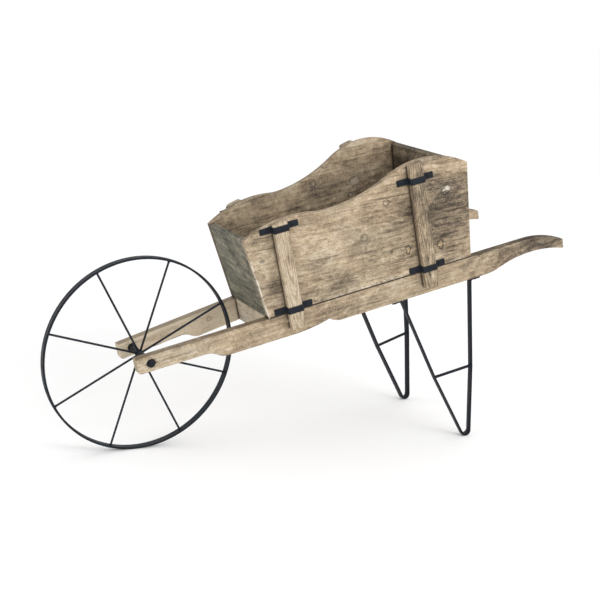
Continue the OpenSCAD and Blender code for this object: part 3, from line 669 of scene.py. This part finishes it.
def screwSet(nodeName, way):
    # CAD screws with a driver recess sunk into each head
    parts = looseParts(mergedCopy(nodeName))
    for number, part in enumerate(parts):
        axis = way(part)
        topPoint = max(v.co.dot(axis) for v in part.data.vertices)
        crown = [v.co for v in part.data.vertices if v.co.dot(axis) > topPoint - recess["crownDepth"]]
        middle = sum(crown, Vector()) / len(crown)
        wide = max((v.co - middle - axis * (v.co - middle).dot(axis)).length for v in part.data.vertices)
        cutter = crossCutter(wide * recess["span"])
        cutter.data.transform(Matrix.Rotation(number * recess["turnStep"], 4, "Z"))
        cutAway(part, pointed(cutter, middle, axis))
    return joined(parts, pieceNameOf(nodeName))


flatBar = {"legEase": 0.0009, "strapEase": 0.0004, "shortestEdge": 0.06}
ironBars = [("leg_left", flatBar["legEase"]), ("leg_right", flatBar["legEase"])]
ironBars += [("strap_%s_%s_%s" % (side, end, level), flatBar["strapEase"])
             for side in ("left", "right") for end in ("front", "rear") for level in ("upper", "lower")]
for nodeName, ease in ironBars:
    piece = mergedCopy(nodeName)
    easeEdges(piece, nodeName, ease, shortest=flatBar["shortestEdge"])
    finishPiece(piece, "frame", blackPaint, "black_iron", nodeName)

down = Vector((math.sin(stance["incline"]), 0, -math.cos(stance["incline"])))
screwSets = [
    {"node": "strap_screws", "way": lambda part: outwardOf(part, 1), "finish": blackPaint, "slot": "black_iron"},
    {"node": "batten_screws", "way": lambda part: outwardOf(part, -1), "finish": zincPlate, "slot": "zinc_steel"},
    {"node": "leg_screws", "way": lambda part: down, "finish": blackPaint, "slot": "black_iron"},
]
for row in screwSets:
    piece = screwSet(row["node"], row["way"])
    smooth(piece)
    finishPiece(piece, "frame", row["finish"], row["slot"], row["node"])

# round iron is taken as it is, merged so that it can be shaded smooth
spokes = ["spoke_%d" % number for number in range(1, 9)]
roundIron = [(name, "frame", blackPaint, "black_iron")
             for name in ("leg_brace_left", "leg_brace_right", "inner_washers", "outer_washers")]
roundIron += [("floor_nails", "frame", zincPlate, "zinc_steel")]
roundIron += [(name, "wheel", blackPaint, "black_iron") for name in ["hub_tube", "wheel_rim"] + spokes]
for nodeName, body, finish, slotName in roundIron:
    piece = mergedCopy(nodeName)
    smooth(piece, degrees=30)
    finishPiece(piece, body, finish, slotName, nodeName)

for nodeName in ("rail_dowels", "side_dowels", "corner_dowels"):
    nodes[nodeName].data.materials.clear()
    nodes[nodeName].data.materials.append(turnedDowel)

# the axle bolt

# the cutting drum stands a hair proud of the hexagon, so that no two faces coincide
boltTrim = {"chamferDepth": 0.0026, "chamferScale": 0.86, "crownScale": 0.80, "shoulder": 0.7,
            "acrossCorners": 0.0197, "proud": 0.0001, "spareLength": 0.01}


def chamferLathe(length, radius):
    # a drum with one end tapered in two steps, which turns the corners of a hexagon round
    depth, shoulder = boltTrim["chamferDepth"], boltTrim["shoulder"]
    bpy.ops.mesh.primitive_cylinder_add(vertices=64, radius=radius, depth=length, location=(0, 0, -length / 2))
    drum = bpy.context.object
    settle(drum)
    pickFaces(drum, lambda face: face.normal.z > 0.5)
    bpy.ops.transform.translate(value=(0, 0, -depth))
    for rise, scale in ((shoulder, boltTrim["chamferScale"]), (1 - shoulder, boltTrim["crownScale"])):
        bpy.ops.mesh.extrude_region_move(TRANSFORM_OT_translate={"value": (0, 0, depth * rise)})
        bpy.ops.transform.resize(value=(scale, scale, 1))
    leaveEdit()
    return drum


for nodeName, outward in (("axle_bolt", -1), ("axle_nut", 1)):
    piece = mergedCopy(nodeName)
    low, high = (Vector(corner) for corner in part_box(nodeName))
    tip = Vector((hub.x, (low.y if outward < 0 else high.y) + outward * boltTrim["proud"], hub.z))
    drum = chamferLathe(high.y - low.y + boltTrim["spareLength"], boltTrim["acrossCorners"] / 2 + boltTrim["proud"])
    cutAway(piece, pointed(drum, tip, Vector((0, outward, 0))), "INTERSECT")
    smooth(piece, degrees=25)
    finishPiece(piece, "frame", blackPaint, "black_iron", nodeName)

# welds

print("laying the welds")

# a root is the bead's radius on the bar, and a tip its radius round the rod
weld = {"spokeRoot": 0.0048, "hubRoot": 0.0040, "spokeTip": 0.0029, "height": 0.0045, "hubHeight": 0.0036,
        "braceRoot": 0.0062, "braceTip": 0.0041, "braceHeight": 0.0054,
        "shoulder": 0.3, "tipSpread": 1.3, "lumps": 0.06}


def weldBead(root, tipRadius, height, seed):
    # an upright lumpy collar: wide where it lies on the bar, narrow round the rod
    bpy.ops.mesh.primitive_uv_sphere_add(segments=20, ring_count=12, radius=1)
    bead = bpy.context.object
    editMesh(bead)
    bpy.ops.transform.resize(value=(root, root, height))
    leaveEdit()
    pickPoints(bead, lambda co: co.z > height * weld["shoulder"])
    narrowing = tipRadius / root * weld["tipSpread"]
    bpy.ops.transform.resize(value=(narrowing, narrowing, 1), center_override=(0, 0, 0))
    bpy.ops.mesh.select_all(action="SELECT")
    bpy.ops.transform.vertex_random(offset=root * weld["lumps"], seed=seed)
    leaveEdit()
    smooth(bead, degrees=80)
    return bead


beads = []
for number, spoke in enumerate(spokes, 1):
    low, high = (Vector(corner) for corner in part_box(spoke))
    away = ((low + high) / 2 - hub).normalized()
    reach = [(v.co - hub).dot(away) for v in nodes[spoke].data.vertices]
    for end, way, root, height in ((max(reach), -1, weld["spokeRoot"], weld["height"]),
                                   (min(reach), 1, weld["hubRoot"], weld["hubHeight"])):
        bead = weldBead(root, weld["spokeTip"], height, 10 * number + way + 2)
        beads.append(pointed(bead, hub + away * end, away * way))
piece = joined(beads, "spokeWelds")
finishPiece(piece, "wheel", blackPaint, "black_iron")

for side in ("left", "right"):
    low, high = (Vector(corner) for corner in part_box("leg_brace_" + side))
    slant = stance["splay"] * (-1 if side == "left" else 1)
    along = Matrix.Rotation(-stance["incline"], 3, "Y") @ Vector((math.cos(slant), math.sin(slant), 0))
    middle = (low + high) / 2
    reach = [(v.co - middle).dot(along) for v in nodes["leg_brace_" + side].data.vertices]
    beads = []
    for end, way in ((max(reach), -1), (min(reach), 1)):
        bead = weldBead(weld["braceRoot"], weld["braceTip"], weld["braceHeight"], 200 + way)
        beads.append(pointed(bead, middle + along * end, along * way))
    piece = joined(beads, "braceWelds" + side.title())
    finishPiece(piece, "frame", blackPaint, "black_iron")

# floor, light and camera

print("setting the stage")
stage = {"width": 60.0, "drop": 0.0005, "colour": (0.95, 0.95, 0.95), "roughness": 0.9, "air": 1.05}
bpy.ops.mesh.primitive_plane_add(size=stage["width"], location=(0, 0, -stage["drop"]))
floor = bpy.context.object
floor.name = "studioFloor"
settle(floor)
paper, tree = newMaterial("studioPaper")
shader = addNode(tree, "BsdfPrincipled", Base_Color=(*stage["colour"], 1), Roughness=stage["roughness"])
tree.links.new(shader.outputs[0], addNode(tree, "OutputMaterial").inputs[0])
floor.data.materials.append(paper)

keyLamp = {"place": (1.6, -3.6, 2.6), "target": (0.1, 0, 0.4), "size": 2.2, "power": 60}
bpy.ops.object.light_add(type="AREA", location=keyLamp["place"])
light = bpy.context.object
light.name = "keyLamp"
light.data.energy = keyLamp["power"]
light.data.size = keyLamp["size"]
light.rotation_euler = (Vector(keyLamp["target"]) - light.location).to_track_quat("-Z", "Y").to_euler()

world = bpy.data.worlds.new("studioAir")
world.use_nodes = True
world.node_tree.nodes["Background"].inputs["Color"].default_value = (1.0, 1.0, 1.0, 1)
world.node_tree.nodes["Background"].inputs["Strength"].default_value = stage["air"]
bpy.context.scene.world = world
bpy.context.scene.view_settings.view_transform = "Standard"

view = {"place": (-1.5246, -2.7956, 1.1737), "yaw": 28.66, "pitch": 14.19, "roll": 4.68,
        "lens": 74.64, "sensor": 36}
bpy.ops.object.camera_add(location=view["place"])
camera = bpy.context.object
camera.name = "viewCamera"
camera.data.lens = view["lens"]
camera.data.sensor_width = view["sensor"]
aimTurn = Euler((math.radians(90 - view["pitch"]), 0, math.radians(-view["yaw"]))).to_matrix()
rollTurn = Euler((0, 0, math.radians(view["roll"]))).to_matrix()
camera.rotation_euler = (aimTurn @ rollTurn).to_euler()
bpy.context.scene.camera = camera

print("done")
